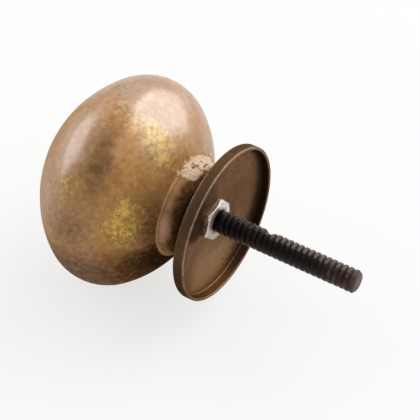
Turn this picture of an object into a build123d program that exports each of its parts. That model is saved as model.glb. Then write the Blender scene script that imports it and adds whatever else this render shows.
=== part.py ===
"""Cabinet knob: a cast head and neck, a pressed backplate, a lock nut and a threaded stud.

The knob lies as it is fitted to an upright cabinet front. The origin is where the stud's axis crosses the
cabinet front, +Z is up, the head stands out towards -Y and the stud goes through the cabinet front towards +Y.
All sizes are in millimetres.
"""

from build123d import *
import math
import os

# Head and neck, one casting
head_diameter = 38.0
dome_depth = 13.9  # from the widest ring to the front of the head
underside_depth = 13.8  # from the widest ring to where the underside would close on the axis
head_edge_radius = 8.7  # of the arc round the widest ring
neck_length = 5.1  # from the foot to the crease under the head
neck_top_diameter = 18.0
neck_foot_diameter = 14.8
neck_root_radius = 0.5  # small fillet in the crease under the head

# Backplate, a dish pressed from sheet and open to the back
backplate_diameter = 28.2
backplate_rim_height = 2.1
backplate_crown = 1.2  # rise of the middle above the front of the rim
backplate_sheet = 0.55
backplate_bend_radius = 0.8  # on the outside of the bend between front and rim
backplate_blend_radius = 9.0  # between the flat seat in the middle and the slope to the rim
seat_margin = 0.4  # flat of the seat beyond the neck's foot

# Stud
stud_diameter = 4.0  # outside of the thread
stud_core_diameter = 3.2  # root of the thread, drawn where it is screwed into the nut and the neck
stud_projection = 25.2  # beyond the back of the rim
stud_engagement = 9.0  # screwed into the neck
stud_end_chamfer = 0.3

# Lock nut
nut_across_flats = 7.0
nut_thickness = 1.0
nut_corner_angle = 30.0  # slope of the turned corners
nut_turn = 49.0  # angle of one corner about the axis, from +X towards +Z

# Clearances and hole ends
thread_clearance = 0.05  # on the radius, between the stud and the nut or the tapped hole
hole_clearance = 0.15  # on the radius, between the stud and the backplate
nut_gap = 0.25  # between the nut's face and the full diameter of the stud
hole_end_room = 1.0  # tapped hole beyond the end of the stud
mouth_chamfer = 0.3  # at the mouth of the tapped holes
drill_point_angle = 118.0

# Radii
head_r = head_diameter / 2
neck_top_r = neck_top_diameter / 2
neck_foot_r = neck_foot_diameter / 2
backplate_r = backplate_diameter / 2
stud_r = stud_diameter / 2
stud_core_r = stud_core_diameter / 2
tapped_r = stud_core_r + thread_clearance


def crown_radius(depth):
    """Radius of the arc, centred on the axis, that closes the head at a depth and runs on from the edge arc."""
    return (head_r**2 + depth**2 - 2 * head_r * head_edge_radius) / (2 * (depth - head_edge_radius))


dome_r = crown_radius(dome_depth)
underside_r = crown_radius(underside_depth)

# Places along the axis
seat_y = -(backplate_rim_height + backplate_crown)
floor_y = seat_y + backplate_sheet
nut_face_y = floor_y + nut_thickness
crease_y = seat_y - neck_length
underside_centre_y = crease_y - math.sqrt(underside_r**2 - neck_top_r**2)
equator_y = underside_centre_y + underside_r - underside_depth
front_y = equator_y - dome_depth
dome_centre_y = front_y + dome_r
stud_end_y = seat_y - stud_engagement
hole_end_y = stud_end_y - hole_end_room


def make_knob_head():
    """Head and neck as one turned form, with a blind tapped hole up the neck."""
    edge_centre_r = head_r - head_edge_radius
    dome_end = math.degrees(math.atan2(equator_y - dome_centre_y, edge_centre_r))
    edge_end = math.degrees(math.atan2(equator_y - underside_centre_y, edge_centre_r))
    crease_angle = math.degrees(math.acos(neck_top_r / underside_r))
    hole_point_y = hole_end_y - tapped_r / math.tan(math.radians(drill_point_angle / 2))
    with BuildPart() as head:
        with BuildSketch(Plane.XY) as section:
            with BuildLine():
                CenterArc((0, dome_centre_y), dome_r, -90, dome_end + 90)
                CenterArc((edge_centre_r, equator_y), head_edge_radius, dome_end, edge_end - dome_end)
                CenterArc((0, underside_centre_y), underside_r, edge_end, crease_angle - edge_end)
                TangentArc((neck_foot_r, seat_y), (neck_top_r, crease_y), tangent=(0, -1))
                Polyline(
                    (neck_foot_r, seat_y),
                    (tapped_r + mouth_chamfer, seat_y),
                    (tapped_r, seat_y - mouth_chamfer),
                    (tapped_r, hole_end_y),
                    (0, hole_point_y),
                    (0, front_y),
                )
            make_face()
            crease = section.vertices().sort_by_distance((neck_top_r, crease_y))[0]
            fillet(crease, radius=neck_root_radius)
        revolve(axis=Axis.Y)
    return head.part


def make_backplate():
    """Pressed dish: flat seat, sloping crown, bent rim, one sheet thickness throughout."""
    seat_r = neck_foot_r + seat_margin
    hole_r = stud_r + hole_clearance
    with BuildPart() as plate:
        with BuildSketch(Plane.XY):
            with BuildLine():
                front = FilletPolyline(
                    (hole_r, seat_y),
                    (seat_r, seat_y),
                    (backplate_r, -backplate_rim_height),
                    (backplate_r, 0),
                    radius=[backplate_blend_radius, backplate_bend_radius],
                )
                offset(front, amount=backplate_sheet, side=Side.LEFT, closed=True)
            make_face()
        revolve(axis=Axis.Y)
    return plate.part


def make_lock_nut():
    """Thin hexagon nut with turned corners on the side away from the backplate."""
    flat_r = nut_across_flats / 2
    corner_r = flat_r / math.cos(math.pi / 6)
    corner_drop = (corner_r - flat_r) * math.tan(math.radians(nut_corner_angle))
    floor_plane = Plane((0, floor_y, 0), x_dir=(1, 0, 0), z_dir=(0, 1, 0))
    with BuildPart() as nut:
        with BuildSketch(floor_plane):
            RegularPolygon(flat_r, side_count=6, major_radius=False, rotation=-nut_turn)
        extrude(amount=nut_thickness)
        with BuildSketch(Plane.XY):
            with BuildLine():
                Polyline(
                    (tapped_r, floor_y),
                    (corner_r, floor_y),
                    (corner_r, nut_face_y - corner_drop),
                    (flat_r, nut_face_y),
                    (tapped_r + mouth_chamfer, nut_face_y),
                    (tapped_r, nut_face_y - mouth_chamfer),
                    close=True,
                )
            make_face()
        revolve(axis=Axis.Y, mode=Mode.INTERSECT)
    return nut.part


def make_threaded_stud():
    """Stud at its core diameter inside the nut and the neck, and at its outside diameter beyond the nut."""
    free_start_y = nut_face_y + nut_gap
    with BuildPart() as stud:
        with BuildSketch(Plane.XY):
            with BuildLine():
                Polyline(
                    (0, stud_end_y),
                    (stud_core_r, stud_end_y),
                    (stud_core_r, free_start_y),
                    (stud_r, free_start_y),
                    (stud_r, stud_projection - stud_end_chamfer),
                    (stud_r - stud_end_chamfer, stud_projection),
                    (0, stud_projection),
                    close=True,
                )
            make_face()
        revolve(axis=Axis.Y)
    return stud.part


pieces = {
    "knob_head": make_knob_head(),
    "backplate": make_backplate(),
    "lock_nut": make_lock_nut(),
    "threaded_stud": make_threaded_stud(),
}

os.makedirs("parts", exist_ok=True)
for node, solid in pieces.items():
    export_step(solid, f"parts/{node}.step")
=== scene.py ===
"""Aged brass cabinet knob on a pale floor, with its backplate, lock nut and threaded stud.

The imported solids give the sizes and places. This file adds what they leave out: the thread and its nick, the
rough braze on the neck, the rubbed and tarnished finishes, the floor, the lamps and the camera. Sizes of the
pieces are in millimetres, and turns about the axis go from +X towards +Z.
"""

import logging
import math
from collections.abc import Callable, Mapping, Sequence
from dataclasses import dataclass, field
from enum import Enum
from functools import reduce

import bpy
import numpy as np
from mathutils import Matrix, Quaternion, Vector, noise


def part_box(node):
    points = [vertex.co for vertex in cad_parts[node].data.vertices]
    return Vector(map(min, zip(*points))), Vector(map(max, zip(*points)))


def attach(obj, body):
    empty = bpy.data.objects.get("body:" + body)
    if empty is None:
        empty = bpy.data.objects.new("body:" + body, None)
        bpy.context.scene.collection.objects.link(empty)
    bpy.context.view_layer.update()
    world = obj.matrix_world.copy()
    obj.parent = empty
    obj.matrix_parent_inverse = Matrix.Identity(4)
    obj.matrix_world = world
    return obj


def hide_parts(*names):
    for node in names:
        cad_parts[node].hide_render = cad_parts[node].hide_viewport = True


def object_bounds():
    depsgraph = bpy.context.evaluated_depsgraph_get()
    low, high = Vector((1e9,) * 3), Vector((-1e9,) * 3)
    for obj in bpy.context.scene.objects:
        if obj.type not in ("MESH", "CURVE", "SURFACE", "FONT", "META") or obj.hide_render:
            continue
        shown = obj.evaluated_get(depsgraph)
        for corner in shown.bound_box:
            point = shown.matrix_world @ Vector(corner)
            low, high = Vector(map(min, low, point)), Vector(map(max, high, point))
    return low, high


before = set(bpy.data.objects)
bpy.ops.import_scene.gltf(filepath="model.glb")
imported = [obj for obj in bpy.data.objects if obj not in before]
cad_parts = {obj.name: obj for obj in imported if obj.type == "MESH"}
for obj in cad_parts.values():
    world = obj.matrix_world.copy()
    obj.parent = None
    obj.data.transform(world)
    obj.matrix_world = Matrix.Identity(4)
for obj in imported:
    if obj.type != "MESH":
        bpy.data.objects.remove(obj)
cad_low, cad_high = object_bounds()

MM = 0.001
IMAGE_PX = 420
BODY = "root"
POINT_RADIUS = 1e-6  # a smaller ring is one point
SHORTEST_STEP = 1e-9
NOISE_LAYERS = 4
NOISE_LAYER_GAP = 2.0

Array = np.ndarray
Material = bpy.types.Material
Socket = bpy.types.NodeSocket
Colour = tuple[float, float, float]
Place = tuple[float, float]
Feed = Socket | float | Sequence[float]
Layer = tuple[Feed, float, Colour]

log = logging.getLogger("knob")


class Mark(Enum):
    """Shares from 0 to 1 that a mesh carries at each point, for its finish to read."""

    # Rubbed metal, partly a painted highlight on the head and on the backplate's edge and bend.
    RUBBED_AND_SHEEN = "rubbed"
    # Golden tone on the head, and a painted pool of light on the backplate.
    GOLDEN_AND_PAINTED_LIGHT = "golden"
    LACQUER = "lacquer"
    # Tarnish and darkening, with painted shade on the head, backplate and nut, and a painted shadow on the
    # backplate.
    TARNISH_AND_SHADE = "tarnish"
    # Painted shade at the foot of the neck, by the backplate.
    DEEP_SHADE = "soot"
    # Painted pinkish sheen on the neck and on the crease line.
    PAINTED_SHEEN = "copper"
    BRAZE = "braze"
    CRACK = "crack"
    # Rubbed crests of the thread, with a painted highlight along its top.
    CREST_WEAR_AND_SHEEN = "crest"
    RUST = "rust"


def smooth_step(value: Array) -> Array:
    """Value held between 0 and 1, easing in and out at the ends."""
    held = np.clip(value, 0.0, 1.0)
    return held * held * (3.0 - 2.0 * held)


def hump(value: Array, middle: float, width: float) -> Array:
    """Share that is 1 where the value is at the middle and falls away on both sides."""
    return np.exp(-(((value - middle) / width) ** 2))


@dataclass(frozen=True)
class Ramp:
    """An eased change over a range of values: low at its start and before, high at its end and beyond."""

    start: float
    end: float
    low: float = 0.0
    high: float = 1.0

    def __call__(self, value: Array) -> Array:
        """The result for each value."""
        share = smooth_step((value - self.start) / (self.end - self.start))
        return self.low + (self.high - self.low) * share


@dataclass(frozen=True)
class Follow:
    """A straight change with another value: even where that is 0, and more for each 1 of it."""

    even: float
    more: float

    def __call__(self, value: Array) -> Array:
        """The result for each value."""
        return self.even + self.more * value


def arc_points(centre: Place, radius: float, start: float, end: float, count: int) -> Array:
    """Radius and axial place of points along an arc of a section, between two angles in radians."""
    turn = np.linspace(start, end, count)
    return np.column_stack((centre[0] + radius * np.cos(turn), centre[1] + radius * np.sin(turn)))


def bend_points(start: Array, corner: Place, end: Array, count: int) -> Array:
    """Radius and axial place of points along a smooth bend, which leaves and ends towards a corner."""
    share = np.linspace(0.0, 1.0, count)[:, None]
    return (1.0 - share) ** 2 * start + 2.0 * share * (1.0 - share) * np.array(corner) + share**2 * end


@dataclass(frozen=True)
class Spot:
    """An oval spot on a skin, by its middle and its reach along and round the axis."""

    along: float
    turn_deg: float
    half_length: float
    half_width: float
    strength: float
    edge: Ramp = Ramp(1.0, 0.0)  # share of its reach

    def share(self, skin: "RingSkin") -> Array:
        """How strongly the spot shows at each point."""
        across = skin.radius * skin.turn_from(self.turn_deg) / self.half_width
        return self.strength * self.edge(np.hypot((skin.along - self.along) / self.half_length, across))


@dataclass(frozen=True)
class Patch:
    """A round patch on a skin, by the X and Z of its middle and its reach."""

    x: float
    z: float
    reach: float
    strength: float
    edge: Ramp = Ramp(1.0, 9.0 / 19.0)  # share of its reach

    def share(self, skin: "RingSkin") -> Array:
        """How strongly the patch shows at each point."""
        x, _, z = np.moveaxis(skin.points(), -1, 0)
        return self.strength * self.edge(np.hypot(x - self.x, z - self.z) / self.reach)


@dataclass(eq=False)
class RingSkin:
    """A closed skin about the Y axis, as rings of points that can be pushed before they are meshed.

    Radius and along hold the radius and the axial place of each point, one row a ring. Turn holds the angle
    of each column in radians, and marks hold a share for each point.
    """

    radius: Array
    along: Array
    turn: Array
    marks: dict[Mark, Array] = field(default_factory=dict)

    @classmethod
    def turned(cls, section: Array, segments: int) -> "RingSkin":
        """A skin with the same section all round, from the radius and axial place of each ring."""
        radius, along = np.repeat(section.T[..., None], segments, axis=2)
        return cls(radius, along, np.arange(segments) * (2.0 * math.pi / segments))

    def points(self) -> Array:
        """Places of all points, as rings by columns by X, Y and Z."""
        x, z = self.radius * np.cos(self.turn), self.radius * np.sin(self.turn)
        return np.stack((x, self.along, z), axis=-1)

    def facing(self, turn_deg: float) -> Array:
        """How far each column faces a side: 1 towards it, -1 away from it."""
        return np.cos(self.turn - math.radians(turn_deg))

    def turn_from(self, turn_deg: float) -> Array:
        """Angle from a side to each column, in radians from -pi to pi."""
        return np.angle(np.exp(1j * (self.turn - math.radians(turn_deg))))

    def sample(self, size: float, recipe: Callable[[Vector], float] = noise.noise) -> Array:
        """Noise with features of a size, at each point."""
        places = (self.points() / size).reshape(-1, 3)
        return np.array([recipe(Vector(place)) for place in places]).reshape(self.radius.shape)

    def rough(self, size: float, calm: float) -> Array:
        """Layered noise at each point, with weaker fine layers the calmer it is."""
        return self.sample(size, lambda place: noise.fractal(place, calm, NOISE_LAYER_GAP, NOISE_LAYERS))

    def strongest(self, spots: Sequence[Spot | Patch]) -> Array:
        """The strongest of some spots at each point."""
        return np.max([spot.share(self) for spot in spots], axis=0)

    def push(self, amount: Array) -> None:
        """Moves the points outwards across the section.

        Args:
            amount: Distance at each point, rings by columns.
        """
        step_r = np.gradient(self.radius, axis=0)
        step_y = np.gradient(self.along, axis=0)
        length = np.maximum(np.hypot(step_r, step_y), SHORTEST_STEP)
        self.radius = np.maximum(self.radius + amount * step_y / length, 0.0)
        self.along = self.along - amount * step_r / length

    def build(self, name: str, sharp_deg: float, loop: bool) -> bpy.types.Object:
        """Makes the mesh object.

        Args:
            name: Name of the piece.
            sharp_deg: Edges that turn more than this many degrees stay crisp.
            loop: True where the last ring joins the first one, as round a sheet.

        Returns:
            The new object, in the scene.
        """
        columns = len(self.turn)
        single = self.radius.max(axis=1) < POINT_RADIUS
        counts = np.where(single, 1, columns)
        index = (np.cumsum(counts) - counts)[:, None] + np.where(single[:, None], 0, np.arange(columns))
        kept = np.unique(index, return_index=True)[1]
        lower = index if loop else index[:-1]
        upper = np.roll(index, -1, axis=0)[: len(lower)]
        corners = np.stack((lower, upper, np.roll(upper, -1, axis=1), np.roll(lower, -1, axis=1)), axis=-1)
        faces = [tuple(dict.fromkeys(corner)) for corner in corners.reshape(-1, 4).tolist()]
        mesh = bpy.data.meshes.new(name)
        mesh.from_pydata((self.points().reshape(-1, 3)[kept] * MM).tolist(), [], faces)
        for mark, share in self.marks.items():
            layer = mesh.attributes.new(mark.value, "FLOAT", "POINT")
            layer.data.foreach_set("value", share.ravel()[kept].astype(np.float32))
        mesh.validate()
        mesh.shade_smooth()
        mesh.set_sharp_from_angle(angle=math.radians(sharp_deg))
        piece = bpy.data.objects.new(name, mesh)
        bpy.context.scene.collection.objects.link(piece)
        return piece


def paint(value: Feed) -> Feed:
    """A colour with its fourth number, where it is a fixed one."""
    return value if isinstance(value, Socket) else (*value, 1.0)


class Sheet:
    """A shader tree, with short calls for the nodes that the finishes use."""

    def __init__(self, tree: bpy.types.NodeTree) -> None:
        """Keeps the tree."""
        self.tree = tree

    def feed(self, node: bpy.types.Node, feeds: Mapping[str | int, Feed]) -> None:
        """Fills a node's sockets.

        Args:
            node: The node.
            feeds: What goes into its sockets, by socket name or number: another socket or a fixed value.
        """
        for name, value in feeds.items():
            if isinstance(value, Socket):
                self.tree.links.new(value, node.inputs[name])
            else:
                node.inputs[name].default_value = value

    def add(self, kind: str, feeds: Mapping[str | int, Feed], **settings: object) -> bpy.types.Node:
        """Adds a node.

        Args:
            kind: Blender's name for the node.
            feeds: What goes into its sockets.
            settings: The node's own choices.

        Returns:
            The new node.
        """
        node = self.tree.nodes.new(kind)
        for name, value in settings.items():
            setattr(node, name, value)
        self.feed(node, feeds)
        return node

    def math(self, operation: str, first: Feed, second: Feed) -> Socket:
        """The result of one sum, by Blender's name for it."""
        return self.add("ShaderNodeMath", {0: first, 1: second}, operation=operation).outputs[0]

    def times(self, *factors: Feed) -> Socket:
        """The product of some numbers."""
        return reduce(lambda first, second: self.math("MULTIPLY", first, second), factors)

    def plus(self, *terms: Feed) -> Socket:
        """The total of some numbers."""
        return reduce(lambda first, second: self.math("ADD", first, second), terms)

    def minus(self, first: Feed, second: Feed) -> Socket:
        """The first number less the second one."""
        return self.math("SUBTRACT", first, second)

    def most(self, *values: Feed) -> Socket:
        """The largest of some numbers."""
        return reduce(lambda first, second: self.math("MAXIMUM", first, second), values)

    def ramp(
        self, value: Feed, start: Feed = 0.0, end: Feed = 1.0, low: float = 0.0, high: float = 1.0
    ) -> Socket:
        """An eased change over a range of values: low at its start and before, high at its end and beyond."""
        feeds = {0: value, 1: start, 2: end, 3: low, 4: high}
        return self.add("ShaderNodeMapRange", feeds, interpolation_type="SMOOTHSTEP").outputs[0]

    def blend(self, share: Feed, under: Feed, over: Feed) -> Socket:
        """One colour laid over another by a share."""
        feeds = {0: share, 6: paint(under), 7: paint(over)}
        return self.add("ShaderNodeMix", feeds, data_type="RGBA").outputs[2]

    def layers(self, body: Feed, *layers: Layer) -> Socket:
        """Colours laid one over another.

        Args:
            body: Lowest colour.
            layers: Where each colour shows, how strongly, and the colour, from the lowest up.

        Returns:
            The socket with the colour.
        """
        for share, strength, colour in layers:
            shown = share if strength == 1.0 else self.times(share, strength)
            body = self.blend(shown, body, colour)
        return body

    def mark(self, mark: Mark) -> Socket:
        """The share that the mesh carries for a mark."""
        return self.add("ShaderNodeAttribute", {}, attribute_name=mark.value).outputs["Fac"]

    def place(self) -> Socket:
        """Place on the object, in metres."""
        return self.add("ShaderNodeTexCoord", {}).outputs["Object"]

    def per_metre(self, size: Feed) -> Socket:
        """How many features of a size in millimetres go into a metre."""
        return self.math("DIVIDE", 1.0 / MM, size)

    def cloud(self, place: Socket, size: Feed, detail: float, roughness: float) -> Socket:
        """Cloudy noise about 0.5, with features of a size in millimetres and a number of finer layers."""
        feeds = {"Vector": place, "Scale": self.per_metre(size), "Detail": detail, "Roughness": roughness}
        return self.add("ShaderNodeTexNoise", feeds).outputs[0]


class Effects:
    """The node groups that more than one finish uses, each made once."""

    def __init__(self) -> None:
        """Makes the groups."""
        self.clouding = self._clouding()
        self.specks = self._specks()
        self.wear = self._wear()
        self.scratches = self._scratches()

    @staticmethod
    def _new(
        name: str, inputs: Mapping[str, float], outputs: Sequence[str]
    ) -> tuple[Sheet, dict[str, Socket], bpy.types.Node]:
        """Starts a group.

        Args:
            name: Name of the group.
            inputs: Names and usual values of the numbers that it takes.
            outputs: Names of the values that it gives.

        Returns:
            The sheet, the sockets of the inputs by name, and the node that takes the outputs.
        """
        tree = bpy.data.node_groups.new(name, "ShaderNodeTree")
        for label, usual in inputs.items():
            socket = tree.interface.new_socket(label, in_out="INPUT", socket_type="NodeSocketFloat")
            socket.default_value = usual
        for label in outputs:
            tree.interface.new_socket(label, in_out="OUTPUT", socket_type="NodeSocketFloat")
        sheet = Sheet(tree)
        entry = sheet.add("NodeGroupInput", {})
        leave = sheet.add("NodeGroupOutput", {})
        return sheet, {label: entry.outputs[label] for label in inputs}, leave

    def _clouding(self) -> bpy.types.NodeTree:
        """Uneven tarnish: wide clouds, small mottling, and a grain for the bump."""
        sheet, given, leave = self._new("clouding", {"Wide": 8.0, "Small": 0.9}, ("Wide", "Small", "Grain"))
        place = sheet.place()
        wide = sheet.cloud(place, given["Wide"], detail=3.0, roughness=0.6)
        small = sheet.cloud(place, given["Small"], detail=4.0, roughness=0.65)
        fine = sheet.cloud(place, sheet.times(given["Small"], 0.3), detail=2.0, roughness=0.5)
        grain = sheet.plus(sheet.times(fine, 0.4), small)
        clouds = {"Wide": wide, "Small": small}
        spread = {label: sheet.ramp(cloud, 0.34, 0.66) for label, cloud in clouds.items()}
        sheet.feed(leave, spread | {"Grain": grain})
        return sheet.tree

    def _specks(self) -> bpy.types.NodeTree:
        """Scattered dark dots, thicker in some places than in others."""
        sheet, given, leave = self._new("specks", {"Size": 1.4, "Amount": 0.5}, ("Mask",))
        place = sheet.place()
        size = given["Size"]
        cells = {"Vector": place, "Scale": sheet.per_metre(size), "Randomness": 1.0}
        distance = sheet.add("ShaderNodeTexVoronoi", cells).outputs["Distance"]
        crowd = sheet.cloud(place, sheet.times(size, 6.0), detail=1.0, roughness=0.5)
        reach = sheet.times(given["Amount"], sheet.ramp(crowd, 0.42, 0.68, high=0.34))
        torn = sheet.cloud(place, sheet.times(size, 0.5), detail=3.0, roughness=0.6)
        ragged = sheet.times(sheet.minus(torn, 0.5), 1.1)
        inside = sheet.minus(sheet.plus(reach, ragged), distance)
        sheet.feed(leave, {"Mask": sheet.ramp(inside, -0.15, 0.15)})
        return sheet.tree

    def _wear(self) -> bpy.types.NodeTree:
        """A ragged mask that grows where the metal is handled, rubbed or tarnished."""
        usual = {"Share": 0.0, "Size": 1.2, "Ragged": 0.5, "Soft": 0.11}
        sheet, given, leave = self._new("wear", usual, ("Mask",))
        torn = sheet.cloud(sheet.place(), given["Size"], detail=5.0, roughness=0.68)
        level = sheet.plus(given["Share"], sheet.times(sheet.minus(torn, 0.5), given["Ragged"]))
        start = sheet.minus(0.5, given["Soft"])
        end = sheet.plus(0.5, given["Soft"])
        sheet.feed(leave, {"Mask": sheet.ramp(level, start, end)})
        return sheet.tree

    def _scratches(self) -> bpy.types.NodeTree:
        """Fine hair lines for the bump, drawn out along the axis."""
        sheet, given, leave = self._new("scratches", {"Size": 0.5, "Stretch": 8.0}, ("Height",))
        narrow = sheet.math("DIVIDE", 1.0, given["Stretch"])
        squeeze = sheet.add("ShaderNodeCombineXYZ", {0: 1.0, 1: narrow, 2: 1.0}).outputs[0]
        squeezed = {0: sheet.place(), 1: squeeze}
        drawn = sheet.add("ShaderNodeVectorMath", squeezed, operation="MULTIPLY").outputs[0]
        lines = sheet.cloud(drawn, given["Size"], detail=3.0, roughness=0.6)
        sheet.feed(leave, {"Height": sheet.ramp(lines, 0.35, 0.65)})
        return sheet.tree


class Finish:
    """A material with a Principled shader, ready for its colours."""

    def __init__(self, name: str, effects: Effects) -> None:
        """Makes an empty material.

        Args:
            name: Name of the material.
            effects: The shared node groups.
        """
        self.effects = effects
        self.material = bpy.data.materials.new(name)
        self.material.use_nodes = True
        self.sheet = Sheet(self.material.node_tree)
        self.shader = self.node("BSDF_PRINCIPLED")

    def node(self, kind: str) -> bpy.types.Node:
        """The first node of a kind in the material."""
        return next(node for node in self.sheet.tree.nodes if node.type == kind)

    def _group(self, tree: bpy.types.NodeTree, **feeds: Feed) -> Mapping[str, Socket]:
        """Places a shared group in the material and gives its outputs."""
        return self.sheet.add("ShaderNodeGroup", feeds, node_tree=tree).outputs

    def clouds(self, wide: float, small: float) -> Mapping[str, Socket]:
        """Uneven tarnish of two sizes in millimetres, as the sockets Wide, Small and Grain."""
        return self._group(self.effects.clouding, Wide=wide, Small=small)

    def specks(self, size: float, amount: float) -> Socket:
        """Mask of scattered dark dots of a size in millimetres."""
        return self._group(self.effects.specks, Size=size, Amount=amount)["Mask"]

    def scratches(self, size: float, stretch: float) -> Socket:
        """Height of hair lines of a width in millimetres, drawn out along the axis."""
        return self._group(self.effects.scratches, Size=size, Stretch=stretch)["Height"]

    def wear(self, mark: Mark, size: float, ragged: float, soft: float) -> Socket:
        """Mask of one of the mesh's marks, with an edge that is torn in features of a size in millimetres."""
        share = self.sheet.mark(mark)
        return self._group(self.effects.wear, Share=share, Size=size, Ragged=ragged, Soft=soft)["Mask"]

    def bump(self, height: Socket, depth: float, strength: float) -> Socket:
        """A normal that follows a height, where a height of 1 stands for a depth in millimetres."""
        feeds = {"Strength": strength, "Distance": depth * MM, "Height": height}
        return self.sheet.add("ShaderNodeBump", feeds).outputs[0]

    def set(self, feeds: Mapping[str, Feed]) -> Material:
        """Feeds the shader and gives the material."""
        self.sheet.feed(self.shader, feeds)
        return self.material


@dataclass(frozen=True)
class AgedBrass:
    """Golden brown tarnish on brass under a patchy lacquer, with rubbed flecks and braze on the neck, and
    painted shade and sheen.
    """

    golden_brown: Colour = (0.75, 0.41, 0.138)
    red_brown: Colour = (0.54, 0.26, 0.105)
    umber: Colour = (0.22, 0.100, 0.044)
    olive: Colour = (0.46, 0.26, 0.058)
    # Dark brown for tarnish spots and for painted shade under and below the ball.
    dark: Colour = (0.064, 0.0225, 0.0115)
    # Near-black painted shade at the foot of the neck and inside the braze cracks.
    soot: Colour = (0.012, 0.006, 0.003)
    gold: Colour = (1.0, 0.69, 0.17)
    # Pinkish colour of the painted sheen: a reflection on the neck and a highlight on the crease line.
    copper: Colour = (0.66, 0.37, 0.235)
    braze: Colour = (0.90, 0.69, 0.49)
    edge_tint: Colour = (0.80, 0.68, 0.57)
    metal: float = 0.35
    rubbed_through: float = 0.8
    lacquer_ior: float = 3.1
    lacquer_roughness: float = 0.25
    specks_in_lacquer: float = 0.4

    def build(self, effects: Effects) -> Material:
        """Makes the material.

        Args:
            effects: The shared node groups.

        Returns:
            The material.
        """
        finish = Finish("aged_brass", effects)
        sheet = finish.sheet
        cloud = finish.clouds(wide=4.0, small=1.0)
        film = finish.clouds(wide=2.4, small=0.5)
        specks = finish.specks(size=0.9, amount=0.7)
        lines = finish.scratches(size=0.35, stretch=5.0)
        golden = finish.wear(Mark.GOLDEN_AND_PAINTED_LIGHT, size=1.8, ragged=1.4, soft=0.35)
        # Tarnish spots and painted shade, from the mesh.
        tarnish = finish.wear(Mark.TARNISH_AND_SHADE, size=1.1, ragged=0.8, soft=0.45)
        # Painted sheen on the neck and the crease line.
        copper = finish.wear(Mark.PAINTED_SHEEN, size=0.9, ragged=1.0, soft=0.45)
        # Gold where the tarnish is rubbed through; on the first head spot it is partly a painted highlight.
        rubbed = finish.wear(Mark.RUBBED_AND_SHEEN, size=0.8, ragged=2.0, soft=0.40)
        rubbed = sheet.times(rubbed, self.rubbed_through)
        lacquer = sheet.mark(Mark.LACQUER)
        braze = sheet.mark(Mark.BRAZE)
        # Painted shade inside the braze cracks and at the foot of the neck.
        soot = sheet.most(sheet.mark(Mark.CRACK), sheet.mark(Mark.DEEP_SHADE))
        bare = sheet.minus(1.0, sheet.most(braze, soot))
        body = sheet.layers(
            self.red_brown,
            (cloud["Small"], 1.0, self.golden_brown),
            (cloud["Wide"], 0.25, self.red_brown),
            (golden, 0.6, self.olive),
            (film["Wide"], 0.14, self.umber),
            (film["Small"], 0.30, self.umber),
            (lacquer, 0.22, self.umber),
            (tarnish, 1.0, self.dark),
            (specks, 0.35, self.dark),
            (rubbed, 1.0, self.gold),
            (copper, 1.0, self.copper),
            (braze, 1.0, self.braze),
            (soot, 1.0, self.soot),
        )
        metal = sheet.times(sheet.most(rubbed, self.metal), bare, sheet.ramp(tarnish, low=1.0, high=0.3))
        coat = sheet.times(
            lacquer,
            sheet.ramp(film["Small"], low=1.0, high=0.80),
            sheet.ramp(film["Wide"], low=1.0, high=0.85),
            bare,
            sheet.minus(1.0, sheet.times(specks, self.specks_in_lacquer)),
        )
        rough = sheet.plus(
            sheet.ramp(cloud["Small"], low=0.34, high=0.50),
            sheet.times(sheet.most(braze, tarnish), 0.35),
            sheet.times(rubbed, 0.15),
        )
        steps = sheet.times(sheet.minus(rubbed, specks), 0.6)
        height = sheet.plus(cloud["Grain"], sheet.times(lines, 0.35), steps)
        return finish.set(
            {
                "Base Color": body,
                "Metallic": metal,
                "Roughness": rough,
                "Specular IOR Level": 0.0,
                "Specular Tint": paint(self.edge_tint),
                "Coat Weight": coat,
                "Coat Roughness": self.lacquer_roughness,
                "Coat IOR": self.lacquer_ior,
                "Normal": finish.bump(height, depth=0.04, strength=0.6),
            }
        )


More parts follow.
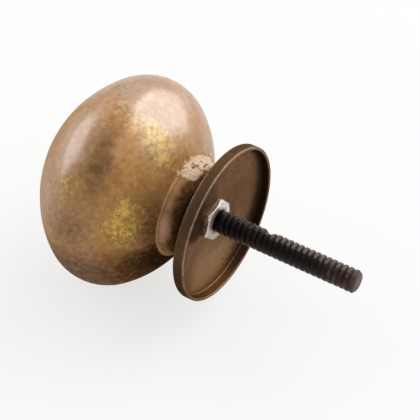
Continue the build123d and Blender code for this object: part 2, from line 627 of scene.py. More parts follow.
@dataclass(frozen=True)
class DarkPressedBrass:
    """Dark brown tarnish on pressed sheet, rubbed bright along the cut edge and the bend, with painted light
    and shade.
    """

    brown: Colour = (0.150, 0.080, 0.039)
    pale_brown: Colour = (0.222, 0.120, 0.065)
    # Lighter golden brown for the painted pool of light on the dish floor.
    golden: Colour = (0.28, 0.164, 0.080)
    # Dark brown for tarnish, painted shade on the wall and in the corner, and the painted shadow.
    dark: Colour = (0.036, 0.018, 0.009)
    # Bright rubbed brass on the cut edge and the bend, partly a painted highlight.
    bright: Colour = (0.42, 0.29, 0.19)
    edge_tint: Colour = (0.66, 0.55, 0.48)
    film_ior: float = 1.6
    metal: float = 0.92

    def build(self, effects: Effects) -> Material:
        """Makes the material.

        Args:
            effects: The shared node groups.

        Returns:
            The material.
        """
        finish = Finish("dark_pressed_brass", effects)
        sheet = finish.sheet
        cloud = finish.clouds(wide=6.0, small=1.1)
        specks = finish.specks(size=1.1, amount=0.7)
        lines = finish.scratches(size=0.4, stretch=4.0)
        # Rubbed edge and bend, partly a painted highlight.
        rubbed = finish.wear(Mark.RUBBED_AND_SHEEN, size=1.6, ragged=0.8, soft=0.2)
        # Tarnish, painted shade and the painted shadow, from the mesh.
        tarnish = sheet.mark(Mark.TARNISH_AND_SHADE)
        body = sheet.layers(
            self.brown,
            (cloud["Wide"], 1.0, self.pale_brown),
            (cloud["Small"], 0.35, self.brown),
            # Painted pool of light on the dish floor.
            (sheet.mark(Mark.GOLDEN_AND_PAINTED_LIGHT), 1.0, self.golden),
            (tarnish, 1.0, self.dark),
            (specks, 0.6, self.dark),
            (rubbed, 1.0, self.bright),
        )
        dull = sheet.times(sheet.most(rubbed, tarnish), 0.28)
        height = sheet.plus(cloud["Grain"], sheet.times(lines, 0.5))
        return finish.set(
            {
                "Base Color": body,
                "Metallic": self.metal,
                "Roughness": sheet.plus(sheet.ramp(cloud["Small"], low=0.30, high=0.42), dull),
                "IOR": self.film_ior,
                "Specular Tint": paint(self.edge_tint),
                "Normal": finish.bump(height, depth=0.012, strength=0.25),
            }
        )


@dataclass(frozen=True)
class DullZinc:
    """Dull silvery plating with grey specks, darker round the hole and with painted shade on its lower side.
    """

    silver: Colour = (0.94, 0.83, 0.74)
    grey: Colour = (0.38, 0.31, 0.26)
    # Near-black for the specks, the darkening round the hole and the painted shade.
    darkening: Colour = (0.05, 0.036, 0.028)
    metal: float = 0.9

    def build(self, effects: Effects) -> Material:
        """Makes the material.

        Args:
            effects: The shared node groups.

        Returns:
            The material.
        """
        finish = Finish("dull_zinc", effects)
        sheet = finish.sheet
        cloud = finish.clouds(wide=2.0, small=0.45)
        specks = finish.specks(size=0.55, amount=0.9)
        lines = finish.scratches(size=0.25, stretch=1.0)
        body = sheet.layers(
            self.silver,
            (cloud["Small"], 0.6, self.grey),
            (specks, 0.7, self.darkening),
            # Darker round the hole, and painted shade on the lower side.
            (sheet.mark(Mark.TARNISH_AND_SHADE), 1.0, self.darkening),
        )
        height = sheet.plus(cloud["Grain"], sheet.times(lines, 0.4))
        return finish.set(
            {
                "Base Color": body,
                "Metallic": self.metal,
                "Roughness": sheet.ramp(cloud["Wide"], low=0.36, high=0.5),
                "Normal": finish.bump(height, depth=0.03, strength=0.6),
            }
        )


@dataclass(frozen=True)
class BlackenedSteel:
    """Blackened thread with grey-brown crests, rubbed towards the tip and with a painted highlight along the
    top, and a little rust near the tip.
    """

    black: Colour = (0.004, 0.0028, 0.0025)
    # Grey-brown of rubbed crests, also a painted highlight along the top of the thread.
    crest: Colour = (0.20, 0.165, 0.145)
    rust: Colour = (0.085, 0.042, 0.031)
    edge_tint: Colour = (0.80, 0.58, 0.54)
    film_ior: float = 1.38
    crest_metal: float = 0.5

    def build(self, effects: Effects) -> Material:
        """Makes the material.

        Args:
            effects: The shared node groups.

        Returns:
            The material.
        """
        finish = Finish("blackened_steel", effects)
        sheet = finish.sheet
        cloud = finish.clouds(wide=3.0, small=0.5)
        # Rubbed crests, with a painted highlight along the top.
        worn = finish.wear(Mark.CREST_WEAR_AND_SHEEN, size=1.0, ragged=0.7, soft=0.11)
        rusted = sheet.times(sheet.mark(Mark.RUST), sheet.ramp(cloud["Wide"], low=0.1, high=0.8))
        return finish.set(
            {
                "Base Color": sheet.layers(self.black, (worn, 0.8, self.crest), (rusted, 1.0, self.rust)),
                "Metallic": sheet.times(worn, self.crest_metal),
                "Roughness": sheet.ramp(cloud["Small"], low=0.34, high=0.56),
                "IOR": self.film_ior,
                "Specular Tint": paint(self.edge_tint),
                "Normal": finish.bump(cloud["Grain"], depth=0.04, strength=0.6),
            }
        )


@dataclass(frozen=True)
class PaleFloor:
    """Matt white paper under the knob, which throws only a little light back up at it."""

    white: Colour = (0.98, 0.98, 0.98)
    bounce: Colour = (0.30, 0.30, 0.30)
    glow: float = 0.70

    def build(self, effects: Effects) -> Material:
        """Makes the material.

        Args:
            effects: The shared node groups.

        Returns:
            The material.
        """
        finish = Finish("pale_floor", effects)
        sheet = finish.sheet
        rays = sheet.add("ShaderNodeLightPath", {}).outputs
        seen = sheet.most(rays["Is Camera Ray"], rays["Is Glossy Ray"], rays["Is Transmission Ray"])
        paper = sheet.blend(seen, self.bounce, self.white)
        glow = sheet.add("ShaderNodeEmission", {"Strength": 1.0}).outputs[0]
        shaders = {0: sheet.times(seen, self.glow), 1: finish.shader.outputs[0], 2: glow}
        mix = sheet.add("ShaderNodeMixShader", shaders).outputs[0]
        sheet.feed(finish.node("OUTPUT_MATERIAL"), {"Surface": mix})
        return finish.set({"Base Color": paper, "Roughness": 1.0, "Specular IOR Level": 0.0})


def dress(piece: bpy.types.Object, node: str, material: Material) -> bpy.types.Object:
    """Gives a piece its finish and lets it stand for a solid.

    Args:
        piece: The new piece.
        node: The solid that it stands for.
        material: The finish.

    Returns:
        The piece.
    """
    piece.data.materials.append(material)
    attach(piece, BODY)
    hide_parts(node)
    return piece


def node_span(node: str) -> tuple[float, float, float]:
    """Largest radius and both ends along the axis of a solid."""
    low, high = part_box(node)
    return max(high.x, high.z) / MM, low.y / MM, high.y / MM


@dataclass(frozen=True)
class NeckBraze:
    """The rough braze round part of the neck, its cracks with painted shade in them, and a thin ridge along
    the crease with a painted highlight on it.
    """

    start_deg: float = 75.0
    end_deg: float = 152.0
    fade_deg: float = 7.0
    reach: Ramp = Ramp(-0.84, 1.56, high=2.75)  # fades inside the ends
    upper: Ramp = Ramp(-0.34, 0.06)  # distance behind the crease
    lower: Ramp = Ramp(0.0, -1.3)  # distance beyond its reach
    tear_size: float = 0.8
    tear_calm: float = 0.7
    end_tear: float = 0.6
    upper_tear: float = 0.34
    lower_tear: float = 0.3
    lump_size: float = 0.7
    lump_calm: float = 0.6
    height: float = 0.24
    lump_height: Follow = Follow(0.7, 0.55)
    lump_cover: Follow = Follow(0.95, 0.5)
    lip_size: float = 1.4
    lip_cover: Follow = Follow(0.75, 0.5)
    lip_height: float = 0.07
    lip_width: float = 0.13
    lip_drop: float = 0.10
    # Share of braze colour that paints a highlight on the crease ridge.
    lip_painted_highlight: float = 0.25
    crack_width: float = 0.24
    crack_depth: float = 0.22
    # Share of painted shade inside the cracks.
    crack_shade: float = 0.8
    cracks: tuple[tuple[Place, ...], ...] = (
        ((-8.15, 100.2), (-7.5, 103.0), (-6.44, 102.8)),
        ((-7.7, 96.5), (-7.5, 103.0), (-7.35, 106.5)),
        ((-6.67, 111.9), (-6.9, 117.0), (-7.0, 125.0)),
        ((-7.8, 114.6), (-7.55, 115.8)),
        ((-6.3, 107.0), (-6.05, 107.6)),
    )

    def cover(self, skin: RingSkin, behind: Array) -> Array:
        """Where the braze lies: ragged, from the crease down the neck, over part of the way round.

        Args:
            skin: The head's skin.
            behind: Distance of each point behind the crease.

        Returns:
            Shares from 0 to 1, rings by columns.
        """
        turn_deg = np.degrees(skin.turn)
        tear = skin.rough(self.tear_size, self.tear_calm)
        inside = np.minimum(turn_deg - self.start_deg, self.end_deg - turn_deg) / self.fade_deg
        upper = self.upper(behind + self.upper_tear * tear)
        lower = self.lower(behind - self.lower_tear * tear - self.reach(inside))
        return smooth_step(inside + self.end_tear * tear) * upper * lower

    def lip(self, skin: RingSkin, behind: Array) -> Array:
        """Where the thin ridge along the crease carries its painted highlight, as shares from 0 to 1."""
        line = hump(behind, self.lip_drop, self.lip_width)
        return np.clip(self.lip_cover(skin.sample(self.lip_size)) * line, 0.0, 1.0)

    def crack(self, skin: RingSkin) -> Array:
        """Where the cracks run, each from place to place by its axial place and its turn in degrees.

        Args:
            skin: The head's skin.

        Returns:
            Shares from 0 to 1, rings by columns.
        """
        share = np.zeros_like(skin.radius)
        legs = [leg for crack in self.cracks for leg in zip(crack[:-1], crack[1:])]
        for (along, turn_deg), (next_along, next_turn_deg) in legs:
            away_y = skin.along - along
            away_turn = skin.radius * (skin.turn - math.radians(turn_deg))
            step_y = next_along - along
            step_turn = skin.radius * math.radians(next_turn_deg - turn_deg)
            there = (away_y * step_y + away_turn * step_turn) / (step_y**2 + step_turn**2)
            held = np.clip(there, 0.0, 1.0)
            away = np.hypot(away_y - held * step_y, away_turn - held * step_turn)
            share = np.maximum(share, smooth_step(1.0 - away / self.crack_width))
        return share


@dataclass(frozen=True)
class HeadWear:
    """Where the head is lacquered, tarnished, rubbed and golden, and where shade and sheen are painted on it.

    Ramps are over the distance in front of the crease, unless their comment names another measure.
    """

    upper_lit_turn_deg: float = 120.0
    front: Ramp = Ramp(0.0, 15.0)  # radius
    ball: Ramp = Ramp(0.0, 0.6)
    film: Ramp = Ramp(5.0, 8.0, high=0.13)
    outer: Ramp = Ramp(2.0, 9.0)
    top: Ramp = Ramp(0.75, 1.0, high=0.8)  # facing the upper, lit side
    spot_lacquer: float = 1.25
    lacquer_spots: tuple[Spot, ...] = (
        Spot(-15.6, 104.0, 9.4, 11.5, 1.0),
        Spot(-12.0, 81.0, 5.0, 5.6, 0.7),
        Spot(-23.8, 58.0, 6.0, 13.0, 0.8),
        Spot(-26.0, 28.0, 8.0, 14.0, 0.36),
        Spot(-12.0, 158.0, 10.0, 12.0, 1.0),
    )
    # Painted shade: under the ball by the crease, along its lower side and down the neck towards the
    # backplate, less on the upper, lit side and towards the front.
    dark_ball: Ramp = Ramp(-0.2, 0.3)
    under: Ramp = Ramp(6.0, -1.0)
    shade: Ramp = Ramp(1.0 / 3.0, -1.0, 0.80, 0.40)  # facing the upper, lit side
    unlit: Ramp = Ramp(0.75, -0.25)  # facing the upper, lit side
    lower: Ramp = Ramp(1.0 / 3.0, -1.0)  # facing the upper, lit side
    low: Ramp = Ramp(0.45, 0.95, high=0.54)  # lower; painted shade along the lower side of the ball
    corner: Ramp = Ramp(9.0 / 14.0, 1.0, high=0.38)  # lower; painted shade in the corner under the ball
    low_front: Ramp = Ramp(2.0, 10.0, 1.0, 0.4)  # distance in front of the widest ring
    waist: Ramp = Ramp(0.0, -0.4)
    # Painted shade on the neck, deeper towards the backplate.
    neck: Ramp = Ramp(-0.6, -2.0, 0.34, 0.74)
    dark_spots: tuple[Spot, ...] = (
        Spot(-9.4, 2.0, 2.6, 6.5, 0.36),
        Spot(-20.0, 12.0, 9.0, 9.0, 0.40),
        Spot(-17.4, 50.0, 4.2, 6.5, 0.55),
        Spot(-18.2, 62.0, 3.4, 6.0, 0.46),
        Spot(-17.0, 40.0, 3.6, 5.0, 0.44),
    )
    patch_size: float = 9.0
    patchy: Ramp = Ramp(-0.35, 0.95)  # noise
    patch_gold: float = 0.40
    golden_spots: tuple[Spot, ...] = (
        Spot(-18.2, 50.0, 3.6, 10.0, 0.8),
        Spot(-10.6, 50.0, 4.2, 11.0, 0.4),
        Spot(-12.3, 18.0, 5.0, 9.0, 0.8),
        Spot(-10.8, 36.0, 3.0, 5.0, 0.9),
        Spot(-21.5, 34.0, 4.5, 4.5, 0.6),
    )
    flecks: Follow = Follow(0.21, -0.5)  # darkness from tarnish spots and painted shade
    rubbed_spots: tuple[Spot, ...] = (
        # The first spot also covers the lower tip of the window lamp's highlight, where its gold is partly a
        # painted highlight.
        Spot(-12.6, 83.0, 5.0, 5.4, 0.70),
        Spot(-16.6, 80.0, 3.4, 3.6, 0.44),
        Spot(-10.9, 76.6, 2.2, 3.4, 0.72),
        Spot(-12.3, 18.0, 4.6, 7.5, 0.50),
        Spot(-12.3, 30.5, 2.6, 3.6, 0.60),
        Spot(-22.0, 33.0, 4.6, 3.4, 0.40),
        Spot(-20.0, 84.0, 2.6, 5.0, 0.30),
    )
    # Painted sheen: a highlight on the crease ridge and a pinkish reflection of the floor on the neck.
    lip_painted_sheen: float = 0.7
    painted_sheen_spots: tuple[Spot, ...] = (
        Spot(-7.6, 12.0, 2.2, 5.0, 1.0),
        Spot(-7.6, 42.0, 1.8, 7.0, 0.38),
    )
    soot: Ramp = Ramp(-3.4, -1.5, high=0.95)  # distance behind the foot of the neck; painted shade in the gap by the backplate
    deep_shade_ease: float = 0.5


@dataclass
class KnobHead:
    """The cast head and neck: a turned form with slight unevenness and rough braze round part of the neck."""

    head_radius: float = 19.0
    dome_depth: float = 13.9
    underside_depth: float = 13.8
    edge_radius: float = 8.7
    neck_length: float = 5.1
    neck_top_radius: float = 9.0
    neck_foot_radius: float = 7.4
    crease_radius: float = 0.5
    bore_radius: float = 1.65
    bore_depth: float = 10.0
    bore_point: float = 1.0
    margin: float = 0.1
    dome_rings: int = 46
    edge_rings: int = 56
    underside_rings: int = 34
    crease_rings: int = 14
    neck_rings: int = 44
    hidden_rings: int = 5
    segments: int = 288
    sharp_deg: float = 50.0
    set_back: float = 0.04  # keeps the waves inside the solid's box
    wave_size: float = 7.0
    wave_height: float = 0.06
    ripple_size: float = 2.2
    ripple_height: float = 0.016
    free: Ramp = Ramp(0.3, 1.1)  # distance in front of the foot of the neck
    braze: NeckBraze = NeckBraze()
    wear: HeadWear = HeadWear()

    def __post_init__(self) -> None:
        """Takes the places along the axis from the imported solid."""
        _, self.front, self.seat = node_span("knob_head")
        self.crease = self.seat - self.neck_length
        self.equator = self.front + self.dome_depth

    def _crown_radius(self, depth: float) -> float:
        """Radius of the arc that closes the head at a depth and runs on from the edge arc."""
        reach = self.head_radius**2 + depth**2 - 2.0 * self.head_radius * self.edge_radius
        return reach / (2.0 * (depth - self.edge_radius))

    def section(self) -> Array:
        """The section from the front of the head round to the end of the bore, one row a ring."""
        edge = (self.head_radius - self.edge_radius, self.equator)
        dome_radius = self._crown_radius(self.dome_depth)
        under_radius = self._crown_radius(self.underside_depth)
        dome = (0.0, self.front + dome_radius)
        under = (0.0, self.equator + self.underside_depth - under_radius)
        dome_end = math.atan2(edge[1] - dome[1], edge[0])
        edge_end = math.atan2(edge[1] - under[1], edge[0])
        crease_turn = math.acos((self.neck_top_radius + self.crease_radius) / under_radius)
        flare = self.neck_top_radius - self.neck_foot_radius
        waist_radius = (flare**2 + self.neck_length**2) / (2.0 * flare)
        waist_centre = (self.neck_foot_radius + waist_radius, self.seat)
        waist_start = math.pi + math.asin((self.neck_length - self.crease_radius) / waist_radius)
        underside = arc_points(under, under_radius, edge_end, crease_turn, self.underside_rings)
        waist = arc_points(waist_centre, waist_radius, waist_start, math.pi, self.neck_rings)
        corner = (self.neck_top_radius, self.crease)
        mouth = (self.bore_radius, self.seat)
        bore_end = self.seat - self.bore_depth
        rows = (
            [(0.0, self.front)],
            arc_points(dome, dome_radius, -math.pi / 2, dome_end, self.dome_rings)[1:-1],
            arc_points(edge, self.edge_radius, dome_end, edge_end, self.edge_rings),
            underside[1:],
            bend_points(underside[-1], corner, waist[0], self.crease_rings)[1:-1],
            waist,
            np.linspace((self.neck_foot_radius, self.seat), mouth, self.hidden_rings)[1:],
            np.linspace(mouth, (self.bore_radius, bore_end), self.hidden_rings)[1:],
            [(0.0, bore_end - self.bore_point)],
        )
        return np.concatenate(rows)

    def _tarnish_and_shade(self, skin: RingSkin, ahead: Array, upper: Array, waist: Array) -> Array:
        """Darkening: painted shade under the ball, along its lower side and down the neck, and dark spots.

        Args:
            skin: The head's skin.
            ahead: Distance of each point in front of the crease.
            upper: How far each point faces the upper, lit side.
            waist: Where the neck is.

        Returns:
            Shares from 0 to 1, rings by columns.
        """
        wear = self.wear
        under = wear.under(ahead)
        lower = wear.lower(upper)
        shade = wear.shade(upper) * under * wear.unlit(upper)
        low = wear.low(lower) + under * wear.corner(lower)
        low = low * wear.low_front(self.equator - skin.along)
        ball = np.maximum(shade, low) * wear.dark_ball(ahead)
        spots = skin.strongest(wear.dark_spots) * (ahead > 0.0)
        return np.maximum.reduce((ball, spots, waist * wear.neck(ahead)))

    def _wear_marks(self, skin: RingSkin, neck: Array, cover: Array, lip: Array) -> None:
        """Marks where the head is worn, and where shade and sheen are painted on it.

        Args:
            skin: The head's skin.
            neck: True on the outside of the neck and the ball.
            cover: Shares of braze.
            lip: Shares of the thin line along the crease.
        """
        wear = self.wear
        ahead = self.crease - skin.along
        upper = skin.facing(wear.upper_lit_turn_deg)
        upper = upper * np.where(skin.along < self.equator, wear.front(skin.radius), 1.0)
        waist = wear.waist(ahead) * neck
        patchy = wear.patchy(skin.sample(wear.patch_size))
        thick = wear.spot_lacquer * skin.strongest(wear.lacquer_spots) + wear.top(upper) * wear.outer(ahead)
        # Tarnish spots and painted shade, kept off the braze.
        dark = self._tarnish_and_shade(skin, ahead, upper, waist) * (1.0 - cover)
        flecks = patchy * np.maximum(wear.flecks(dark), 0.0)
        copper = skin.strongest(wear.painted_sheen_spots) * waist
        # Painted shade at the foot of the neck, reaching less far on the upper, lit side.
        soot = wear.soot(skin.along - self.seat - wear.deep_shade_ease * smooth_step(upper))
        skin.marks[Mark.GOLDEN_AND_PAINTED_LIGHT] = np.maximum(skin.strongest(wear.golden_spots), wear.patch_gold * patchy)
        skin.marks[Mark.LACQUER] = np.clip(wear.film(ahead) + thick, 0.0, 1.0) * wear.ball(ahead)
        skin.marks[Mark.TARNISH_AND_SHADE] = dark
        skin.marks[Mark.RUBBED_AND_SHEEN] = np.maximum(skin.strongest(wear.rubbed_spots), flecks)
        # Painted sheen on the crease ridge and the neck.
        skin.marks[Mark.PAINTED_SHEEN] = np.maximum(wear.lip_painted_sheen * lip, copper)
        skin.marks[Mark.DEEP_SHADE] = soot * neck

    def build(self, material: Material) -> bpy.types.Object:
        """Makes and dresses the head.

        Args:
            material: Its finish.

        Returns:
            The piece.
        """
        braze = self.braze
        skin = RingSkin.turned(self.section(), self.segments)
        neck = skin.radius > self.neck_foot_radius - self.margin
        behind = skin.along - self.crease
        cover = braze.cover(skin, behind) * neck
        lip = braze.lip(skin, behind) * neck
        crack = braze.crack(skin) * neck
        lumps = skin.rough(braze.lump_size, braze.lump_calm)
        outside = (skin.radius > self.bore_radius + self.margin) | (skin.along < self.equator)
        waves = self.wave_height * skin.sample(self.wave_size)
        ripples = self.ripple_height * skin.sample(self.ripple_size)
        casting = waves + ripples - self.set_back + braze.lip_height * lip
        casting = casting * self.free(self.seat - skin.along) * outside
        skin.push(casting + braze.height * braze.lump_height(lumps) * cover - braze.crack_depth * crack)
        self._wear_marks(skin, neck, cover, lip)
        # Braze, and braze colour as a painted highlight on the crease ridge.
        brazed = np.maximum(braze.lump_cover(lumps) * cover, braze.lip_painted_highlight * lip)
        skin.marks[Mark.BRAZE] = np.clip(brazed, 0.0, 1.0)
        skin.marks[Mark.CRACK] = braze.crack_shade * crack
        piece = skin.build("knob_head_aged", self.sharp_deg, loop=False)
        return dress(piece, "knob_head", material)


@dataclass
class Backplate:
    """The pressed dish behind the neck, open to the back, with a cut edge all round."""

    sheet: float = 0.55
    rim_height: float = 2.1
    bend_radius: float = 0.8
    seat_radius: float = 7.8
    blend_radius: float = 9.0
    hole_radius: float = 2.15
    cut_round: float = 0.2
    seat_rings: int = 8
    blend_rings: int = 7
    slope_rings: int = 16
    bend_rings: int = 12
    wall_rings: int = 8
    cut_rings: int = 6
    hole_rings: int = 4
    segments: int = 256
    sharp_deg: float = 40.0
    wave_size: float = 6.0
    wave_height: float = 0.02
    wave_out: float = 0.3
    wave_reach: float = 2.0
    flat_edge: float = 0.1
    plate_lit_turn_deg: float = 75.0
    edge_width: float = 0.24
    edge_rub_and_sheen: Follow = Follow(0.38, 0.30)  # facing the upper, lit side
    bend_drop: float = 0.1
    bend_width: float = 0.3
    bend_rub_and_sheen: Follow = Follow(0.48, 0.10)  # facing the upper, lit side
    bend_margin: float = 0.5
    # Painted shade in the inner corner, deepest on this side.
    shaded_turn_deg: float = 170.0
    corner_width: float = 0.6
    corner_shade: Ramp = Ramp(0.0, 5.0 / 7.0, 0.15, 0.95)  # facing the shaded side
    wall_margin: float = 0.1
    # Painted shade on the outer wall, deepest on the lower side.
    wall_shade: Ramp = Ramp(8.0 / 9.0, -2.0 / 9.0, 0.42, 1.0)  # facing the upper, lit side
    lining_margin: float = 0.02
    dish_margin: float = 0.4
    floor_margin: float = 0.05
    # Painted shadow of the stud and nut on the dish floor: a dark one beside the nut and a fainter one above
    # it.
    painted_shadows: tuple[Patch, ...] = (Patch(5.7, 2.0, 3.6, 0.9), Patch(1.8, 6.0, 3.6, 0.45))
    # Painted pool of light on the lower part of the dish floor.
    golden: Patch = Patch(2.2, -10.0, 8.0, 1.0)

    def __post_init__(self) -> None:
        """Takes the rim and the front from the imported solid."""
        self.rim, self.front, _ = node_span("backplate")

    def _side(self, inset: float) -> Array:
        """One face of the sheet from the hole to the rim.

        Args:
            inset: Distance from the front face: nothing, or the sheet's thickness.

        Returns:
            Radius and axial place of each ring, from the hole outwards.
        """
        quarter = math.pi / 2.0
        face = self.front + inset
        wall = self.rim - inset
        slope = math.atan2(-self.rim_height - self.front, self.rim - self.seat_radius)
        out, back = math.sin(slope), math.cos(slope)
        bend_reach = self.bend_radius * math.tan((quarter - slope) / 2.0)
        blend_r = self.seat_radius - self.blend_radius * math.tan(slope / 2.0)
        blend_y = self.front + self.blend_radius
        bend_r = self.rim - bend_reach * back - self.bend_radius * out
        bend_y = -self.rim_height - bend_reach * out + self.bend_radius * back
        blend_size = self.blend_radius - inset
        bend_size = self.bend_radius - inset
        slope_start = (blend_r + blend_size * out, blend_y - blend_size * back)
        slope_end = (bend_r + bend_size * out, bend_y - bend_size * back)
        rows = (
            np.linspace((self.hole_radius, face), (blend_r, face), self.seat_rings),
            arc_points((blend_r, blend_y), blend_size, -quarter, slope - quarter, self.blend_rings)[1:],
            np.linspace(slope_start, slope_end, self.slope_rings)[1:],
            arc_points((bend_r, bend_y), bend_size, slope - quarter, 0.0, self.bend_rings)[1:],
            np.linspace((wall, bend_y), (wall, -self.cut_round), self.wall_rings)[1:],
        )
        return np.concatenate(rows)

    def section(self) -> Array:
        """The section from the hole along the front, round the rim and back inside, one row a ring."""
        cut = self.cut_round
        quarter = math.pi / 2.0
        hole = self.hole_radius
        rows = (
            self._side(0.0),
            arc_points((self.rim - cut, -cut), cut, 0.0, quarter, self.cut_rings)[1:],
            arc_points((self.rim - self.sheet + cut, -cut), cut, quarter, math.pi, self.cut_rings)[:-1],
            self._side(self.sheet)[::-1],
            np.linspace((hole, self.front + self.sheet), (hole, self.front), self.hole_rings)[1:-1],
        )
        return np.concatenate(rows)

    def _within(self, skin: RingSkin, margin: float) -> Array:
        """True in the dish, at least a margin inside the rim."""
        floor = self.front + self.sheet - self.floor_margin
        return (skin.radius < self.rim - margin) & (skin.along > floor)

    def _wear_marks(self, skin: RingSkin) -> None:
        """Marks where the dish is rubbed and tarnished, and where a highlight, shade, a shadow and a pool of
        light are painted on it.

        Args:
            skin: The backplate's skin.
        """
        near = skin.facing(self.plate_lit_turn_deg)
        # Cut edge and front bend: rubbed bright, with a painted highlight that is strongest on the upper, lit
        # side.
        edge = hump(skin.along, 0.0, self.edge_width) * self.edge_rub_and_sheen(near)
        bend = hump(skin.along, self.bend_drop - self.rim_height, self.bend_width) * self.bend_rub_and_sheen(near)
        bend = bend * (skin.radius > self.rim - self.bend_margin)
        lining = self._within(skin, self.sheet - self.lining_margin)
        # Painted shade in the inner corner.
        corner = hump(skin.radius, self.rim - self.sheet, self.corner_width) * lining
        corner = corner * self.corner_shade(skin.facing(self.shaded_turn_deg))
        # Painted shade on the outer wall, away from the lit side.
        wall = self.wall_shade(near) * (skin.radius > self.rim - self.wall_margin)
        dish = self._within(skin, self.dish_margin)
        # Painted shadow beside the nut.
        painted_shadow = skin.strongest(self.painted_shadows) * dish
        skin.marks[Mark.RUBBED_AND_SHEEN] = np.maximum(edge, np.where(lining, 0.0, bend))
        skin.marks[Mark.TARNISH_AND_SHADE] = np.maximum.reduce((corner, wall, painted_shadow)) * (1.0 - edge)
        # Painted pool of light on the dish floor, kept off the painted shadow.
        skin.marks[Mark.GOLDEN_AND_PAINTED_LIGHT] = self.golden.share(skin) * dish * (1.0 - painted_shadow)

    def build(self, material: Material) -> bpy.types.Object:
        """Makes and dresses the backplate.

        Args:
            material: Its finish.

        Returns:
            The piece.
        """
        skin = RingSkin.turned(self.section(), self.segments)
        self._wear_marks(skin)
        free = smooth_step((skin.radius - self.seat_radius) / self.wave_reach)
        wave = self.wave_height * skin.sample(self.wave_size) * free
        skin.radius = skin.radius + self.wave_out * wave
        skin.along = skin.along + np.where(np.abs(skin.along) < self.flat_edge, 0.0, wave)
        piece = skin.build("backplate_pressed", self.sharp_deg, loop=True)
        return dress(piece, "backplate", material)


@dataclass
class LockNut:
    """The thin hexagon nut in the dish, with turned corners and a countersunk hole."""

    across_flats: float = 7.0
    face_share: float = 0.96
    corner_slope_deg: float = 30.0
    corner_turn_deg: float = 49.0
    hole_radius: float = 1.65
    countersink: float = 0.3
    edge_round: float = 0.07
    segments: int = 144
    sharp_deg: float = 25.0
    darkening: Ramp = Ramp(0.3, 0.0)  # distance outside the countersink
    lit_turn_deg: float = 110.0
    dull: Ramp = Ramp(1.0 / 3.0, -7.0 / 9.0, high=0.4)  # facing the lit side; painted shade on the side away from it

    def build(self, material: Material) -> bpy.types.Object:
        """Makes and dresses the nut.

        Args:
            material: Its finish.

        Returns:
            The piece.
        """
        _, floor, face = node_span("lock_nut")
        middle = (floor + face) / 2.0
        small = self.edge_round
        hole = self.hole_radius
        mouth = hole + self.countersink
        flat = self.across_flats / 2.0
        chamfer = flat * self.face_share
        sixth = math.pi / 3.0
        turn = np.arange(self.segments) * (2.0 * math.pi / self.segments)
        hexagon = flat / np.cos(np.mod(turn, sixth) - sixth / 2.0)
        corner = face - (hexagon - chamfer) * math.tan(math.radians(self.corner_slope_deg))
        rings = (
            (hole, floor),
            (mouth, floor),
            (chamfer, floor),
            (hexagon - small, floor),
            (hexagon, floor + small),
            (hexagon, middle),
            (hexagon, corner - small),
            (hexagon - small, corner),
            (chamfer, face),
            ((chamfer + mouth) / 2.0, face),
            (mouth + small, face),
            (mouth, face - small),
            (hole, face - self.countersink - small),
            (hole, middle),
        )
        even = np.ones(self.segments)
        radius, along = np.array([(even * ring[0], even * ring[1]) for ring in rings]).swapaxes(0, 1)
        skin = RingSkin(radius, along, turn + math.radians(self.corner_turn_deg))
        # Painted shade on the side of the nut away from the light.
        dull = self.dull(skin.facing(self.lit_turn_deg))
        skin.marks[Mark.TARNISH_AND_SHADE] = np.maximum(self.darkening(radius - mouth), dull)
        piece = skin.build("lock_nut_plated", self.sharp_deg, loop=True)
        return dress(piece, "lock_nut", material)


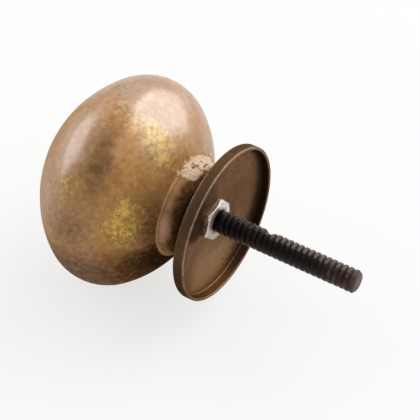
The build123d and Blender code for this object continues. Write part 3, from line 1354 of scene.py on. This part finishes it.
@dataclass
class ThreadedStud:
    """The stud with its rolled thread, a worn tip and one nick across a few turns."""

    pitch: float = 25.4 / 24.0
    core_radius: float = 1.6
    root_radius: float = 1.78
    crest: Ramp = Ramp(1.0 / 34.0, 21.0 / 34.0)  # wave of the thread
    tip_chamfer: float = 0.35
    tip_ring: float = 0.55
    bare_end: float = -1.45
    swell: Ramp = Ramp(-0.1, 0.4)  # distance beyond the bare end
    samples_per_turn: int = 20
    hidden_rings: int = 12
    segments: int = 56
    sharp_deg: float = 60.0
    wear_size: float = 1.3
    wear_height: float = 0.05
    nick_along: float = 7.0
    nick_length: float = 2.1
    nick_depth: float = 0.75
    nick_turn_deg: float = 139.0
    nick_half_width: float = 1.9
    nick_side: Ramp = Ramp(1.0, 2.0 / 7.0)  # half widths from its middle
    nick_start: Ramp = Ramp(0.0, 0.25)  # distance beyond the nick's start
    lit_turn_deg: float = 140.0
    bright: Ramp = Ramp(-5.0 / 17.0, 15.0 / 17.0)  # facing the lit side
    outward: Ramp = Ramp(-3.0, 6.0, 0.50, 0.85)  # distance beyond the nick's start
    tipward: Ramp = Ramp(13.0, 2.0, 0.14, 0.50)  # distance from the tip
    ridge: Ramp = Ramp(0.45, 1.0)  # height of the thread
    end: Ramp = Ramp(0.35, 0.15, high=0.62)  # distance from the tip
    rust: Ramp = Ramp(9.0, 1.0)  # distance from the tip

    def _thread(self, skin: RingSkin) -> Array:
        """Height of the thread at each point, from 0 in the root to 1 on the crest."""
        return self.crest(0.5 - 0.5 * np.cos(2.0 * math.pi * skin.along / self.pitch + skin.turn))

    def _nick(self, skin: RingSkin, outer: float) -> Array:
        """Depth of the nick at each point: steep on the side of the nut and sloping towards the tip.

        Args:
            skin: The stud's skin.
            outer: Outside radius.

        Returns:
            Depths, rings by columns.
        """
        past = skin.along - self.nick_along
        slope = np.clip(1.0 - past / self.nick_length, 0.0, 1.0)
        across = np.abs(skin.turn_from(self.nick_turn_deg)) * outer / self.nick_half_width
        return self.nick_depth * self.nick_start(past) * slope * self.nick_side(across)

    def _wear_marks(self, skin: RingSkin, crest: Array, tip: float) -> None:
        """Marks where the thread is rubbed grey, where a highlight is painted along its top, and where it is
        rusty.

        Args:
            skin: The stud's skin.
            crest: Height of the thread at each point, from 0 to 1.
            tip: Axial place of the tip.
        """
        to_tip = tip - skin.along
        # Crests lighter along the top as a painted highlight, and towards the tip and on the end where they
        # are rubbed.
        upper = self.bright(skin.facing(self.lit_turn_deg)) * self.outward(skin.along - self.nick_along)
        ridge = self.ridge(crest) * np.maximum(upper, self.tipward(to_tip))
        skin.marks[Mark.CREST_WEAR_AND_SHEEN] = np.maximum(ridge, self.end(to_tip))
        skin.marks[Mark.RUST] = self.rust(to_tip)

    def build(self, material: Material) -> bpy.types.Object:
        """Makes and dresses the stud.

        Args:
            material: Its finish.

        Returns:
            The piece.
        """
        outer, start, tip = node_span("threaded_stud")
        step = self.pitch / self.samples_per_turn
        free = np.arange(self.bare_end, tip - 0.5 * step, step)
        hidden = np.linspace(start, self.bare_end - step, self.hidden_rings)
        places = np.concatenate(([start], hidden, free, [tip, tip, tip]))
        skin = RingSkin.turned(np.column_stack((np.full(len(places), outer), places)), self.segments)
        swell = self.swell(skin.along - self.bare_end)
        crest = self._thread(skin)
        root = self.core_radius + (self.root_radius - self.core_radius) * swell
        worn = self.wear_height * skin.sample(self.wear_size) * crest * swell
        chamfer = outer - self.tip_chamfer + tip - skin.along
        radius = np.minimum(root + (outer - root) * crest * swell, chamfer)
        skin.radius = np.minimum(radius - self._nick(skin, outer) + worn, outer)
        skin.radius[0] = 0.0
        skin.radius[-2] = skin.radius[-3] * self.tip_ring
        skin.radius[-1] = 0.0
        self._wear_marks(skin, crest, tip)
        piece = skin.build("threaded_stud_black", self.sharp_deg, loop=False)
        return dress(piece, "threaded_stud", material)


class Side(Enum):
    """Where a lamp stands, as the way from the knob to it."""

    BACK_RIGHT = (-0.785, 0.325, 0.527)
    FRONT_LEFT = (0.13, -0.90, 0.38)
    ABOVE = (-0.05, 0.60, 0.80)
    FAR_LEFT = (-0.62, -0.52, 0.58)


class Outline(Enum):
    """Outline of a lamp, with the share of its box that it fills."""

    SQUARE = ("RECTANGLE", 1.0)
    ROUND = ("ELLIPSE", math.pi / 4.0)


@dataclass(frozen=True)
class SoftBox:
    """A wide lamp that faces the knob, with its distance and sizes in metres."""

    name: str
    side: Side
    distance: float
    width: float
    height: float
    brightness: float
    outline: Outline = Outline.SQUARE
    lean_deg: float = 0.0

    def build(self) -> None:
        """Hangs the lamp."""
        shape, filled = self.outline.value
        lamp = bpy.data.lights.new(self.name, "AREA")
        lamp.shape = shape
        lamp.size = self.width
        lamp.size_y = self.height
        lamp.energy = self.brightness * math.pi * self.width * self.height * filled
        holder = bpy.data.objects.new(self.name, lamp)
        way = Vector(self.side.value).normalized()
        holder.location = way * self.distance
        holder.rotation_mode = "QUATERNION"
        lean = Quaternion((0.0, 0.0, 1.0), math.radians(self.lean_deg))
        holder.rotation_quaternion = way.to_track_quat("Z", "Y") @ lean
        bpy.context.scene.collection.objects.link(holder)


@dataclass
class Studio:
    """The floor, the lamps, the surrounding light and the camera."""

    floor_half: float = 6.0  # metres
    floor_gap: float = 0.2
    surround: Colour = (0.44, 0.44, 0.44)
    camera_place: tuple[float, float, float] = (202.57, 125.67, 235.11)
    camera_back: tuple[float, float, float] = (0.6046, 0.3857, 0.6969)
    camera_clip: float = 10.0
    focal_px: float = 1981.0
    lamps: tuple[SoftBox, ...] = (
        SoftBox("window_box", Side.BACK_RIGHT, 1.6, 1.6, 2.4, 1.74, Outline.ROUND, 18.0),
        SoftBox("side_panel", Side.FRONT_LEFT, 1.6, 1.3, 1.1, 1.3),
        SoftBox("top_fill", Side.ABOVE, 1.8, 1.4, 1.2, 1.1),
        SoftBox("wide_fill", Side.FAR_LEFT, 2.0, 2.6, 2.2, 0.5),
    )

    def build(self, floor_finish: Material) -> None:
        """Sets up the studio.

        Args:
            floor_finish: The floor's finish.
        """
        scene = bpy.context.scene
        scene.view_settings.view_transform = "Standard"
        world = bpy.data.worlds.new("studio")
        world.use_nodes = True
        world.node_tree.nodes["Background"].inputs["Color"].default_value = paint(self.surround)
        scene.world = world
        self._floor(floor_finish)
        for lamp in self.lamps:
            lamp.build()
        self._camera()

    def _floor(self, finish: Material) -> None:
        """Lays the floor just under the head.

        Args:
            finish: Its finish.
        """
        level = cad_low.z - self.floor_gap * MM
        half = self.floor_half
        corners = [(-half, -half, level), (half, -half, level), (half, half, level), (-half, half, level)]
        mesh = bpy.data.meshes.new("floor")
        mesh.from_pydata(corners, [], [(0, 1, 2, 3)])
        mesh.materials.append(finish)
        floor = bpy.data.objects.new("floor", mesh)
        bpy.context.scene.collection.objects.link(floor)

    def _camera(self) -> None:
        """Sets the camera at the picture's viewing angle."""
        camera = bpy.data.cameras.new("camera")
        camera.lens = self.focal_px * camera.sensor_width / IMAGE_PX
        camera.clip_start = self.camera_clip * MM
        holder = bpy.data.objects.new("camera", camera)
        holder.location = Vector(self.camera_place) * MM
        holder.rotation_mode = "QUATERNION"
        holder.rotation_quaternion = (-Vector(self.camera_back)).to_track_quat("-Z", "Y")
        bpy.context.scene.collection.objects.link(holder)
        bpy.context.scene.camera = holder


def main() -> None:
    """Builds the knob and its studio, and reports each piece."""
    logging.basicConfig(level=logging.INFO, format="%(name)s: %(message)s")
    effects = Effects()
    pieces = (
        KnobHead().build(AgedBrass().build(effects)),
        Backplate().build(DarkPressedBrass().build(effects)),
        LockNut().build(DullZinc().build(effects)),
        ThreadedStud().build(BlackenedSteel().build(effects)),
    )
    for piece in pieces:
        log.info("%s: %d faces, %s", piece.name, len(piece.data.polygons), piece.data.materials[0].name)
    Studio().build(PaleFloor().build(effects))


if __name__ == "__main__":
    main()
